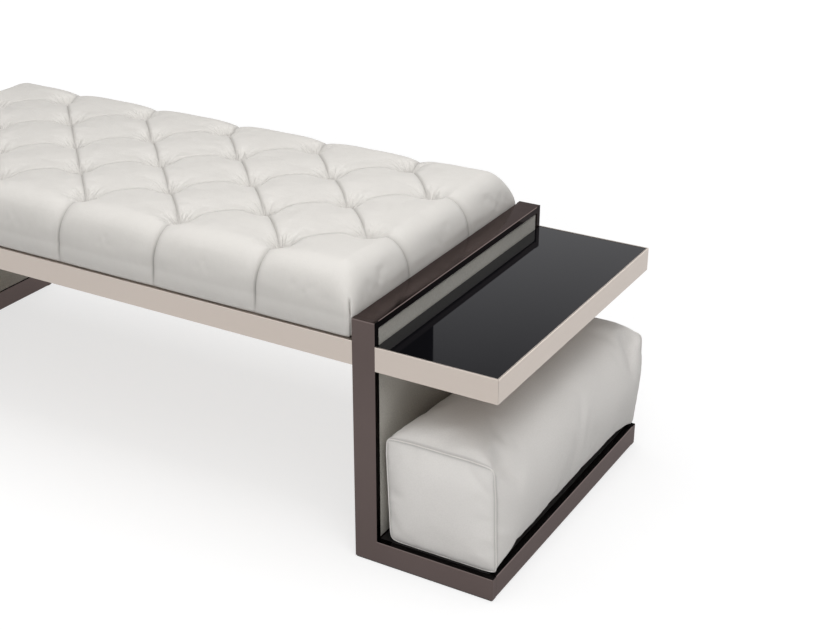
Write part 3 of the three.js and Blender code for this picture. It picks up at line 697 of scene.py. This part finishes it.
def fold_fields(flat):
    """At places on the flat leather: depth, share of a groove, its painted shade, and the way from a tuft."""
    from_tuft, way, which = nearest_tuft(flat)
    funnel = TUFT_DEPTH * np.clip(1 - from_tuft / TUFT_REACH, 0, 1) ** 2
    valley = np.zeros(len(flat))
    groove = np.zeros(len(flat))
    shaded = np.zeros(len(flat))
    for start, end, pleat in folds:
        along = end - start
        length = np.linalg.norm(along)
        share = np.clip((flat - start) @ along / length**2, 0, 1)
        distance = np.linalg.norm(flat - start - share[:, None] * along, axis=1)
        run = share * length
        if pleat:
            fade = np.clip((length - run) / SIDE_HEIGHT, 0, 1) ** PLEAT_POWER
            depth = PLEAT_DEPTH * fade + PLEAT_DROP * (1 - smooth(run, *PLEAT_DROP_SPAN))
            held = fade * tucked(run)
        else:
            depth = CREASE_DEPTH + CREASE_DROP * (2 * share - 1) ** 2
            held = tucked(np.minimum(run, length - run))
        rise = 1 - np.minimum(distance / PILLOW_REACH, 1)
        valley = np.maximum(valley, depth * (1 - np.sqrt(1 - rise**2)))
        groove = np.maximum(groove, held * np.clip(1 - distance / GROOVE_HALF, 0, 1))
        # painted shade: dark along the groove, fainter on its flanks
        line = np.clip(1 - distance / SHADE_HALF, 0, 1)
        flank = FLANK_SHADE * np.exp(-distance / FLANK_REACH)
        shaded = np.maximum(shaded, held * np.maximum(line, flank))
    # painted shade at each tuft
    shaded = np.maximum(shaded, TUFT_SHADE * np.exp(-((from_tuft / TUFT_HALF) ** 2)))
    angle = np.arctan2(way[:, 1], way[:, 0])
    waves = sum(part * np.sin(count * angle + turn * which) for count, turn, part in WRINKLES)
    gathered = smooth(from_tuft, *WRINKLE_SPAN) * np.exp(-from_tuft / WRINKLE_REACH)
    deep = (valley**BLEND + funnel**BLEND) ** (1 / BLEND) + WRINKLE_DEPTH * waves * gathered
    return deep, groove, shaded, np.column_stack([way, which])


print("leather: drawn down by up to", round(fold_fields(tufts)[0].max() / MM, 1), "mm")

# %% [markdown]
# The shell below is the cushion before it is tufted: a top with rounded edges, sides, and a flat bottom. The
# grid is cut so that every fold runs through its points, which keeps the folds crisp.

# %% Cut the seat's shell
ROUGH_CELLS = (10, 1, 10, 6)  # in half a repeat, in the margin, round the edge and down the side
BULGE_SHARE = 0.8  # share of a side's height that bulges
TUCK = 6 * MM  # how far the foot of a side is drawn in, over the last share of its height
TUCK_SHARE = 0.18
UNDER_RINGS = 3  # rings of points on the underside, and how far each goes towards the middle
UNDER_STEP = 0.3
FOLD_FREE = 9.0  # the underside's places on the leather lie this far off, where no fold is


def seat_stations(axis, cells_per_step, margin_cells, arc_cells):
    """Places on the flat leather along one axis, with every tuft on a station."""
    inner = np.arange(-REPEATS[axis] * cells_per_step, REPEATS[axis] * cells_per_step + 1)
    inner = inner * seat_step[axis] / cells_per_step
    flat_edge = seat_half[axis] - ROLL[axis]
    margin = np.linspace(inner[-1], flat_edge, margin_cells + 1)[1:]
    arc = np.linspace(flat_edge, flat_half[axis], arc_cells + 1)[1:]
    outer = np.concatenate([margin, arc])
    return np.concatenate([-outer[::-1], inner, outer])


def rolled(place, axis):
    """Where a place on the flat leather comes to lie: (distance from the middle, share of the crown)."""
    flat_edge = seat_half[axis] - ROLL[axis]
    over = np.clip((np.abs(place) - flat_edge) / arc_length[axis], 0, 1) * math.pi / 2
    inside = np.minimum(np.abs(place), flat_edge)
    return np.sign(place) * (inside + ROLL[axis] * np.sin(over)), np.cos(over)


def round_corners(points, half, radius):
    """Rounds the corners of a cushion that are past half less radius in both directions."""
    past = np.abs(points) - (half - radius)
    inside = (past > 0).all(axis=1)
    reach = past[inside].max(axis=1) / np.linalg.norm(past[inside], axis=1)
    rounded = points.copy()
    corner = np.broadcast_to(half - radius, past.shape)
    rounded[inside] = np.sign(points[inside]) * (corner[inside] + past[inside] * reach[:, None])
    return rounded


def band(above, below):
    """Faces that join a closed ring of points to the ring under it."""
    turned = zip(above, below, np.roll(below, -1), np.roll(above, -1))
    return [[int(n) for n in face] for face in turned]


def seat_shell(cells_per_step, margin_cells, arc_cells, side_cells):
    """The smooth cushion: points, their places on the flat leather, faces, and the top's stations."""
    xs = seat_stations(0, cells_per_step, margin_cells, arc_cells)
    ys = seat_stations(1, cells_per_step, margin_cells, arc_cells)
    flat = np.stack(np.meshgrid(xs, ys, indexing="ij"), axis=-1).reshape(-1, 2)
    px, cx = rolled(flat[:, 0], 0)
    py, cy = rolled(flat[:, 1], 1)
    top = np.column_stack([px, py, shoulder_z + (seat_high.z - shoulder_z) * cx * cy])
    index = np.arange(len(flat)).reshape(len(xs), len(ys))
    faces = []
    for i in range(len(xs) - 1):
        column = math.floor((xs[i] + xs[i + 1]) / 2 / seat_step[0])
        for j in range(len(ys) - 1):
            a, b = int(index[i, j]), int(index[i + 1, j])
            c, d = int(index[i + 1, j + 1]), int(index[i, j + 1])
            row = math.floor((ys[j] + ys[j + 1]) / 2 / seat_step[1])
            faces += [(a, b, d), (b, c, d)] if (column + row) % 2 else [(a, b, c), (a, c, d)]
    ring = np.concatenate([index[:, 0], index[-1, 1:], index[-2::-1, -1], index[0, -2:0:-1]])
    outward = (np.abs(flat[ring]) >= flat_half - 1e-9) * np.sign(flat[ring])
    rim = top[ring]
    points, places, above = [top], [flat], ring
    for k in range(1, side_cells + UNDER_RINGS + 1):
        down = min(k / side_cells, 1) * SIDE_HEIGHT
        bulge = SIDE_BULGE * math.sin(math.pi * min(1, down / (BULGE_SHARE * SIDE_HEIGHT)))
        tuck = TUCK * max(0, 1 - (1 - down / SIDE_HEIGHT) / TUCK_SHARE) ** 2
        under = max(0, k - side_cells) * UNDER_STEP
        level = rim.copy()
        level[:, :2] *= (1 - under) * (1 + (bulge - tuck) / seat_half)
        level[:, 2] = shoulder_z - down
        below = np.arange(len(ring)) + sum(len(p) for p in points)
        points.append(level)
        places.append(flat[ring] + outward * (down + under * FOLD_FREE))
        faces += band(above, below)
        above = below
    faces.append([int(n) for n in above])
    return np.concatenate(points), np.concatenate(places), faces, (xs, ys)


rough_points, rough_places, rough_faces, rough_stations = seat_shell(*ROUGH_CELLS)
print("coarse shell:", len(rough_points), "points,", len(rough_faces), "faces")

# %% [markdown]
# ## Sewing the seat
# The coarse shell is tufted and swollen first: the tufts and the sides are held, the folds held a little, and
# the fill presses the pillows out.

# %% Swell the seat
TUFT_HELD = 1 * MM  # how near a tuft or the top's edge a point is held fast
EDGE_HELD = 12 * MM
FOLD_HELD = 0.5  # how firmly a fold is held, where 1 is fast
PILLOW_TIGHT = 0.4  # how tight the leather is between the folds, where 1 is a fold

rough_deep, rough_groove, _, rough_way = fold_fields(rough_places)
rough_cut = rough_points - normals_of(rough_points, rough_faces) * rough_deep[:, None]
on_top = len(rough_stations[0]) * len(rough_stations[1])
at_tuft = np.linalg.norm(rough_way[:, :2], axis=1) < TUFT_HELD
at_edge = (flat_half - np.abs(rough_places)).min(axis=1) < EDGE_HELD
seat_held = np.where(at_tuft | at_edge, 1.0, np.where(rough_groove > 0, FOLD_HELD, 0.0))
seat_tight = np.where(rough_groove > 0, 1.0, PILLOW_TIGHT)
press = {"pressure": 2.0, "grow": 0.015, "steps": 20, "most": 5 * MM}
swollen = swell(rough_cut, rough_faces, seat_held, seat_tight, **press)
seat_moves = (swollen - rough_cut)[:on_top].reshape(len(rough_stations[0]), len(rough_stations[1]), 3)
print("seat cloth: moved up to", round(np.linalg.norm(seat_moves, axis=2).max() / MM, 1), "mm")

# %% [markdown]
# The movement is carried over to a fine shell, which has the grooves and wrinkles. At each upright corner the
# leather is darted: a short seam runs from the rounded edge to the rail.

# %% Sew the seat
FINE_CELLS = (32, 3, 32, 12)
DART_HALF = 3 * MM
DART_DEPTH = 1.3  # times the depth of a groove
DART_TOP = seat_low.z + 62 * MM  # where a dart ends, after it has faded
DART_FADE = 8 * MM
DART_INSET = 14 * MM  # how far in from the corner a dart reaches
TUFT_APART = 3.0  # between one tuft's wrinkles and the next one's, so that no two are alike
RAY_DRIFT = 14.0  # how fast a wrinkle changes outward
GATHER_STARTS = (2 * MM, 12 * MM)  # where the fine wrinkles begin and end, out from a tuft
GATHER_ENDS = (14 * MM, 52 * MM)


def carried(moves, stations, places):
    """Reads a field of moves at places between its stations."""
    spots = []
    for axis in (0, 1):
        place = np.clip(places[:, axis], stations[axis][0], stations[axis][-1])
        cell = np.clip(np.searchsorted(stations[axis], place) - 1, 0, len(stations[axis]) - 2)
        width = stations[axis][cell + 1] - stations[axis][cell]
        spots.append((cell, ((place - stations[axis][cell]) / width)[:, None]))
    (i, u), (j, v) = spots
    near = moves[i, j] * (1 - v) + moves[i, j + 1] * v
    far = moves[i + 1, j] * (1 - v) + moves[i + 1, j + 1] * v
    return near * (1 - u) + far * u


def corner_darts(points):
    """How much of a groove each point has from the darts at the four upright corners."""
    past = (seat_half - np.abs(points[:, :2])) * ROLL.mean() / ROLL
    sideways = np.abs(past[:, 0] - past[:, 1])
    fade = smooth(points[:, 2], DART_TOP - DART_FADE, DART_TOP)
    return np.clip(1 - sideways / DART_HALF, 0, 1) * (1 - fade) * (past.max(axis=1) < DART_INSET)


shell_points, shell_places, seat_faces, _ = seat_shell(*FINE_CELLS)
deep, groove, shaded, way = fold_fields(shell_places)
darts = corner_darts(shell_points)
groove = np.maximum(groove, DART_DEPTH * darts)
inward = normals_of(shell_points, seat_faces) * (deep + GROOVE_DEPTH * groove)[:, None]
seat_points = shell_points - inward + carried(seat_moves, rough_stations, shell_places)
seat_points[:, :2] = round_corners(seat_points[:, :2], seat_half, CORNER_RADIUS)
seat = soft_mesh("tufted_leather_seat", seat_points, seat_faces, leather)
# the painted shade of the grooves, the tufts and the corner darts
write_points(seat, SEAM_SHADE, np.maximum(shaded, darts))
from_tuft = np.linalg.norm(way[:, :2], axis=1)
outward = way[:, :2] / np.maximum(from_tuft, 1e-6)[:, None]
rays = np.column_stack([outward, TUFT_APART * way[:, 2] + RAY_DRIFT * from_tuft])
write_points(seat, GATHER, rays)
write_points(seat, GATHER_SHARE, smooth(from_tuft, *GATHER_STARTS) * (1 - smooth(from_tuft, *GATHER_ENDS)))
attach(seat, "bench")
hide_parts("seat_cushion")
print("seat:", len(seat_points), "points,", len(seat_faces), "faces")

# %% [markdown]
# ## Bolsters
# A bolster is a long cloth tube closed by two end panels, each sewn in with a corded seam. A bevelled box
# would look hard, and a box under pressure alone goes round at the ends too. So the tube starts as a box with
# softened edges and a crown. Cloth swells it while the end seams are tight, so that the ends stay square and
# the middle goes round.

# %% Swell a bolster
BOLSTER_CELLS = (20, 58, 20)
BOLSTER_HALF = np.array([94, 265.5, 92.5]) * MM
BOLSTER_SHIFT = np.array([1, 3, 0]) * MM  # it lies a little to the back of the shelf
BOLSTER_LEAN = 7 * MM  # how far its top is turned, at each end
END_RADIUS = 9 * MM  # of the long edges, at the end seams and in the middle
MIDDLE_RADIUS = 38 * MM
TOP_CROWN = 20 * MM
SIDE_CROWN = 5 * MM
END_CROWN = 6 * MM
SEAM_HELD = 0.6  # how firmly the end seams are held, where 1 is fast
ON_FACE = 0.999  # share of the half size past which a point lies on that face


def box_lattice(counts):
    """Whole-number points on the six sides of a box of cells, and the faces, outward."""
    seen = {}
    faces = []
    for axis, first, second in ((0, 1, 2), (1, 2, 0), (2, 0, 1)):
        sides = (0, counts[axis])
        for side, a, b in itertools.product(sides, range(counts[first]), range(counts[second])):
            corners = []
            for da, db in ((0, 0), (1, 0), (1, 1), (0, 1)):
                place = [0, 0, 0]
                place[axis], place[first], place[second] = side, a + da, b + db
                corners.append(seen.setdefault(tuple(place), len(seen)))
            faces.append(corners if side else corners[::-1])
    return np.array(list(seen), float), faces


def bolster_cut():
    """The bolster as it is cut, about its own centre: points, their shares of the box, and faces.

    A share runs from -1 to 1. The higher its power, the nearer the ends the shape changes.
    """
    lattice, faces = box_lattice(BOLSTER_CELLS)
    share = 2 * lattice / BOLSTER_CELLS - 1
    middle = 1 - share[:, 1] ** 20
    slowly = 1 - np.abs(share[:, 1]) ** 3
    quickly = 1 - share[:, 1] ** 12
    crown = 1 - share**4
    points = share * BOLSTER_HALF
    radius = END_RADIUS + (MIDDLE_RADIUS - END_RADIUS) * np.where(share[:, 0] < 0, slowly, quickly)
    points[:, [0, 2]] = round_corners(points[:, [0, 2]], BOLSTER_HALF[[0, 2]], radius[:, None])
    points[:, 2] += np.clip(share[:, 2], 0, 1) * TOP_CROWN * crown[:, 0] * middle
    points[:, 0] += share[:, 0] * SIDE_CROWN * crown[:, 2] * middle
    points[:, 1] += share[:, 1] ** 9 * END_CROWN * crown[:, 0] * crown[:, 2]
    return points, share, faces


cut_points, cut_share, cut_faces = bolster_cut()
at_seam = (np.abs(cut_share[:, 1]) > ON_FACE) & (np.abs(cut_share[:, [0, 2]]).max(axis=1) > ON_FACE)
bolster_held = np.where(cut_share[:, 2] < -ON_FACE, 1.0, np.where(at_seam, SEAM_HELD, 0.0))
press = {"pressure": 5.0, "grow": 0.014, "steps": 20, "most": 12 * MM}
full_points = swell(cut_points, cut_faces, bolster_held, at_seam * 1.0, **press)
moved = np.linalg.norm(full_points - cut_points, axis=1).max()
print("bolster cloth: moved up to", round(moved / MM, 1), "mm")

# %% [markdown]
# The swollen tube is subdivided for a smooth surface. Then it gets what sewing leaves: small puckers where
# the cloth meets the seams, and slow, soft dents in the broad faces. At last the bottom is set down on the
# shelf, and the top is turned a little, as on a cushion that was put back by hand.

# %% Sew the bolsters
TUBE_RADIUS = 0.115  # turns an angle round the tube into a length
ENDS_APART = 2.0  # between the puckers of one end and the other, so that they differ
PUCKER_DEPTH = 0.9 * MM
PUCKER_PITCH = 22 * MM
PUCKER_STARTS = 5 * MM
PUCKER_REACH = 16 * MM
DENT_DEPTH = 1.3 * MM
DENT_PITCH = 130 * MM
DENT_STARTS = 40 * MM
LIFT_DEPTH = 1.2 * MM  # where the bottom doesn't quite lie on the shelf
LIFT_PITCH = 90 * MM
SEAM_FADE = 2.2 * MM
AT_END = 0.995  # share of the half length past which a point lies on an end panel
PITCH_SPREAD = (0.7, 1.6)
FULL_TURN = 6.3
BOLSTER_SEED = 40


def waves_of(places, seed, count, pitch):
    """A sum of slow waves in seeded directions, about -1 to 1."""
    draw = np.random.default_rng(seed)
    total = np.zeros(len(places))
    for _ in range(count):
        way = draw.normal(size=3)
        way *= 2 * math.pi / (pitch * draw.uniform(*PITCH_SPREAD) * np.linalg.norm(way))
        total += np.sin(places @ way + draw.uniform(0, FULL_TURN))
    return total / math.sqrt(count)


def subdivided(name, points, faces, share):
    """A smooth mesh with each face in four; the shares come along as an attribute."""
    piece = soft_mesh(name, points, faces, bolster_cloth)
    write_points(piece, "share", share)
    finer = piece.modifiers.new("finer", "SUBSURF")
    finer.levels = finer.render_levels = 1
    mesh = bpy.data.meshes.new_from_object(evaluated(piece))
    bpy.data.objects.remove(piece)
    finer_share = read_vectors(mesh.attributes["share"].data, "vector")
    mesh.attributes.remove(mesh.attributes["share"])
    return mesh, finer_share


def sew_bolster(end, seed):
    low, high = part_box(f"{end}_bolster")
    side = 1 if end == "right" else -1
    mesh, share = subdivided(f"{end}_bolster_cover", full_points, cut_faces, cut_share)
    points = points_of(mesh)
    outward = mesh_normals(mesh)
    on_end = np.abs(share[:, 1]) > AT_END
    across = ((1 - np.abs(share[:, [0, 2]])) * BOLSTER_HALF[[0, 2]]).min(axis=1)
    from_seam = np.where(on_end, across, (1 - np.abs(share[:, 1])) * BOLSTER_HALF[1])
    turn = np.arctan2(share[:, 2], share[:, 0])
    round_seam = np.column_stack([turn * TUBE_RADIUS, share[:, 1] * ENDS_APART, turn * 0])
    pucker = PUCKER_DEPTH * waves_of(round_seam, seed, count=9, pitch=PUCKER_PITCH)
    pucker *= np.exp(-from_seam / PUCKER_REACH) * smooth(from_seam, 0, PUCKER_STARTS)
    dents = DENT_DEPTH * waves_of(points, seed + 1, count=8, pitch=DENT_PITCH)
    dents *= smooth(from_seam, 0, DENT_STARTS)
    points += outward * (pucker + dents)[:, None]
    lifted = LIFT_DEPTH * np.clip(waves_of(points, seed + 2, count=5, pitch=LIFT_PITCH), 0, 1)
    points[:, 2] = np.maximum(points[:, 2], lifted - BOLSTER_HALF[2])
    points[:, 0] += BOLSTER_LEAN * share[:, 1] * (1 + share[:, 2]) / 2
    points += BOLSTER_SHIFT
    points[:, 0] *= side
    points += np.array([(low.x + high.x) / 2, 0, low.z + BOLSTER_HALF[2]])
    mesh.vertices.foreach_set("co", points.ravel())
    if side < 0:
        mesh.flip_normals()
    cover = new_object(f"{end}_bolster_cover", mesh)
    # painted shade, fading out from the end seams
    write_points(cover, SEAM_SHADE, np.exp(-from_seam / SEAM_FADE))
    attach(cover, f"{end}_bolster_cushion")
    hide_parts(f"{end}_bolster")
    return cover, share


covers = {}
for number, end in enumerate(ENDS):
    covers[end] = sew_bolster(end, BOLSTER_SEED + 10 * number)
    print(covers[end][0].name, len(covers[end][0].data.polygons), "faces")

# %% [markdown]
# ## Seam cords
# Each end panel of a bolster is sewn in with a thin cord of the same cloth, which shows as a fine ridge. The
# cord follows the seam of the sewn cover, so it is a node tree: the seam's points become a curve, and a small
# circle is swept along it. The result is turned into a plain mesh.

# %% Sweep the seam cords
CORD_RADIUS = 1.1 * MM
CORD_LIFT = 0.2 * MM
CORD_SIDES = 10
NEAR_SEAM = 0.97  # share of an end panel's half size past which its points lie on the seam


def cord_tree():
    """Geometry Nodes: a thin cord swept along the edges of a mesh."""
    tree = bpy.data.node_groups.new("seam_cord", "GeometryNodeTree")
    for name, kind in (("Geometry", "Geometry"), ("Radius", "Float"), ("Cloth", "Material")):
        tree.interface.new_socket(name, in_out="INPUT", socket_type=f"NodeSocket{kind}")
    tree.interface.new_socket("Geometry", in_out="OUTPUT", socket_type="NodeSocketGeometry")
    given = put(tree, "NodeGroupInput").outputs
    path = put(tree, "GeometryNodeMeshToCurve", {"Mesh": given["Geometry"]})
    section = {"Resolution": CORD_SIDES, "Radius": given["Radius"]}
    ring = put(tree, "GeometryNodeCurvePrimitiveCircle", section)
    swept = {"Curve": path.outputs[0], "Profile Curve": ring.outputs[0]}
    cord = put(tree, "GeometryNodeCurveToMesh", swept)
    soft = put(tree, "GeometryNodeSetShadeSmooth", {"Geometry": cord.outputs[0]})
    whole = put(tree, "GeometryNodeRealizeInstances", {"Geometry": soft.outputs[0]})
    dyed = put(tree, "GeometryNodeSetMaterial", {"Geometry": whole.outputs[0], "Material": given["Cloth"]})
    put(tree, "NodeGroupOutput", {"Geometry": dyed.outputs[0]})
    return tree


def seam_loop(points, outward, share, end_sign):
    """The seam at one end of a bolster, in order round it, lifted a little off the cloth."""
    on_seam = (share[:, 1] * end_sign > AT_END) & (np.abs(share[:, [0, 2]]).max(axis=1) > NEAR_SEAM)
    chosen = np.nonzero(on_seam)[0]
    angle = np.arctan2(share[chosen, 2], share[chosen, 0])
    chosen = chosen[np.argsort(angle)]
    path = points[chosen] + outward[chosen] * CORD_LIFT
    return (np.roll(path, 1, axis=0) + 2 * path + np.roll(path, -1, axis=0)) / 4


cords = cord_tree()
for end in ENDS:
    cover, share = covers[end]
    points = points_of(cover.data)
    outward = mesh_normals(cover.data)
    loops = [seam_loop(points, outward, share, sign) for sign in (-1, 1)]
    edges = []
    for loop in loops:
        first = len(edges)
        edges += [(first + k, first + (k + 1) % len(loop)) for k in range(len(loop))]
    guide_mesh = bpy.data.meshes.new("seam_guide")
    guide_mesh.from_pydata(np.concatenate(loops).tolist(), edges, [])
    guide = new_object("seam_guide", guide_mesh)
    sweep = guide.modifiers.new("cord", "NODES")
    sweep.node_group = cords
    given = {"Radius": CORD_RADIUS, "Cloth": bolster_cloth}
    for item in cords.interface.items_tree:
        if item.name in given:
            sweep[item.identifier] = given[item.name]
    cord_mesh = bpy.data.meshes.new_from_object(evaluated(guide))
    bpy.data.objects.remove(guide)
    cord = new_object(f"{end}_bolster_cord", cord_mesh)
    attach(cord, f"{end}_bolster_cushion")
    print(cord.name, len(cord_mesh.polygons), "faces")

# %% [markdown]
# ## Panel covers
# The cloth on the end panels is drawn over a thin layer of wadding, so each cover is a little fuller in the
# middle and turns softly round its edges. A bevel would round the edges but leave the middle flat. Here each
# point of a box is moved by how far it lies from the edge, which gives both.

# %% Pad the panels
PANEL_CELLS = (2, 64, 48)
PANEL_CROWDING = 1.6  # more than 1 crowds the cells towards the edges
PANEL_EASE = 1.6 * MM
PANEL_FULLNESS = 0.7 * MM
FULL_FROM = 60 * MM
RIPPLE_DEPTH = 0.25 * MM
RIPPLE_PITCH = 160 * MM
RIPPLE_FROM = 30 * MM
PANEL_SEED = 70


def pad_panel(end, face, seed):
    node = f"{end}_panel_{face}_cover"
    low, high = (np.array(corner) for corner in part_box(node))
    half = (high - low) / 2
    showing = (1 if end == "right" else -1) * (1 if face == "outer" else -1)
    lattice, faces = box_lattice(PANEL_CELLS)
    share = 2 * lattice / PANEL_CELLS - 1
    bent = np.sign(share) * (1 - (1 - np.abs(share)) ** PANEL_CROWDING)
    points = bent * half
    from_edge = ((1 - np.abs(bent[:, 1:])) * half[1:]).min(axis=1)
    shows = share[:, 0] * showing > 0
    ease = PANEL_EASE * (1 - np.sqrt(1 - np.clip(1 - from_edge / PANEL_EASE, 0, 1) ** 2))
    full = PANEL_FULLNESS * smooth(from_edge, 0, FULL_FROM)
    wavy = RIPPLE_DEPTH * waves_of(points, seed, count=7, pitch=RIPPLE_PITCH)
    wavy *= smooth(from_edge, 0, RIPPLE_FROM)
    points[:, 0] += np.where(shows, showing * (full + wavy - ease), 0)
    pad = soft_mesh(f"{end}_panel_{face}_pad", points + (low + high) / 2, faces, panel_cloth)
    # no painted shade on the panels
    write_points(pad, SEAM_SHADE, np.zeros(len(points)))
    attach(pad, "bench")
    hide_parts(node)


for number, end in enumerate(ENDS):
    for face in ("outer", "inner"):
        pad_panel(end, face, PANEL_SEED + number)
print("panels padded:", 2 * len(ENDS))
